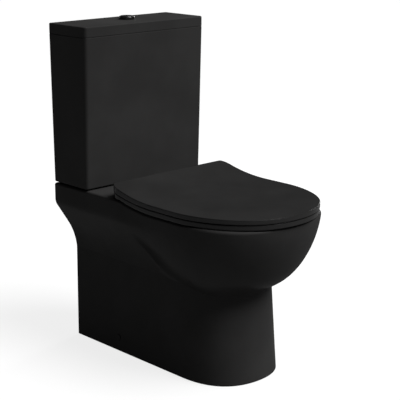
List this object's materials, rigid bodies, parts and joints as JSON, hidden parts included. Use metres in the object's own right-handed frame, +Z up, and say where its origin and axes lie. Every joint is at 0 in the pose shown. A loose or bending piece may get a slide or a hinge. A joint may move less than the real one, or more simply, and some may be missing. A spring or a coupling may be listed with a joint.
{
  "type": "close coupled toilet",
  "caption": "Close coupled toilet in black glaze: washdown pan with closed foot, cistern on its deck, dual flush button, slim soft-close seat and lid.",
  "frame": {"origin": "on the floor, in the plane of symmetry, half way between the wall and the tip of the seat", "axes": "+Z up, +Y towards the wall, +X to the right for someone who faces the toilet from the front"},
  "size_m": [0.375, 0.6434, 0.814],
  "materials": {
    "glaze": "gloss black glaze",
    "seat": "gloss black thermoset",
    "button": "gloss black",
    "black_plastic": "satin black",
    "white_plastic": "moulded white",
    "grey_plastic": "moulded grey",
    "blue_plastic": "moulded blue",
    "rubber": "moulded",
    "foam_rubber": "foamed",
    "brass": "turned",
    "steel": "zinc plated",
    "damper": "ground",
    "spring": "drawn wire"
  },
  "bodies": {
    "pan_body": {"pan": "glaze", "cistern": "glaze", "side_caps": "glaze", "side_screws": "steel", "floor_brackets": "steel", "coupling_washer": "foam_rubber", "cistern_pads": "rubber", "cistern_bolts": "brass", "bolt_seals": "rubber", "bolt_washers": "steel", "wing_nuts": "brass", "flush_valve": "white_plastic", "flush_gasket": "rubber", "flush_backnut": "white_plastic", "fill_valve": "white_plastic", "fill_washer": "rubber", "fill_backnut": "white_plastic", "fill_valve_head": "grey_plastic", "hinge_posts": "black_plastic", "hinge_pins": "damper", "hinge_bolts": "steel", "hinge_cones": "rubber", "hinge_nuts": "white_plastic"},
    "seat_ring_body": {"seat_ring": "seat", "ring_buffers": "rubber"},
    "seat_lid_body": {"seat_lid": "seat", "lid_buffers": "rubber"},
    "cistern_lid_body": {"cistern_lid": "glaze", "button_collar": "button", "collar_nut": "white_plastic"},
    "full_button_body": {"full_flush_button": "button", "full_flush_rod": "white_plastic", "full_flush_spring": "spring"},
    "half_button_body": {"half_flush_button": "button", "half_flush_rod": "white_plastic", "half_flush_spring": "spring"},
    "full_plunger_body": {"full_flush_plunger": "blue_plastic"},
    "half_plunger_body": {"half_flush_plunger": "grey_plastic"},
    "flush_core_body": {"overflow_tube": "grey_plastic", "flush_seal": "rubber"},
    "float_body": {"float_cup": "blue_plastic"},
    "lever_body": {"float_lever": "blue_plastic"}
  },
  "joints": [
    {"name": "seat_ring_hinge", "type": "hinge", "parent": "pan_body", "child": "seat_ring_body", "pos_m": [0, 0.1051, 0.44], "axis": [-1, 0, 0], "range_deg": [0, 95]},
    {"name": "seat_lid_hinge", "type": "hinge", "parent": "seat_ring_body", "child": "seat_lid_body", "pos_m": [0, 0.1051, 0.44], "axis": [1, 0, 0], "range_deg": [-100, 0]},
    {"name": "cistern_lid_lift", "type": "slide", "parent": "pan_body", "child": "cistern_lid_body", "axis": [0, 0, 1], "range_m": [0, 0.15]},
    {"name": "full_flush_press", "type": "slide", "parent": "cistern_lid_body", "child": "full_button_body", "axis": [0, 0, -1], "range_m": [0, 0.006], "stiffness_N_per_m": 400, "deforming": ["full_flush_spring"]},
    {"name": "half_flush_press", "type": "slide", "parent": "cistern_lid_body", "child": "half_button_body", "axis": [0, 0, -1], "range_m": [0, 0.006], "stiffness_N_per_m": 400, "deforming": ["half_flush_spring"]},
    {"name": "full_plunger_push", "type": "slide", "parent": "pan_body", "child": "full_plunger_body", "axis": [0, 0, -1], "range_m": [0, 0.006]},
    {"name": "half_plunger_push", "type": "slide", "parent": "pan_body", "child": "half_plunger_body", "axis": [0, 0, -1], "range_m": [0, 0.006]},
    {"name": "flush_core_lift", "type": "slide", "parent": "pan_body", "child": "flush_core_body", "axis": [0, 0, 1], "range_m": [0, 0.024]},
    {"name": "float_travel", "type": "slide", "parent": "pan_body", "child": "float_body", "axis": [0, 0, -1], "range_m": [0, 0.008]},
    {"name": "float_lever_turn", "type": "hinge", "parent": "pan_body", "child": "lever_body", "pos_m": [0.139, 0.2667, 0.725], "axis": [0, -1, 0], "range_deg": [0, 10.6]}
  ],
  "couplings": [
    {"joint": "full_plunger_push", "follows": "full_flush_press", "ratio": 1},
    {"joint": "half_plunger_push", "follows": "half_flush_press", "ratio": 1},
    {"joint": "flush_core_lift", "follows": "full_flush_press", "ratio": 4},
    {"joint": "float_lever_turn", "follows": "float_travel", "rad_per_m": 22.727}
  ]
}
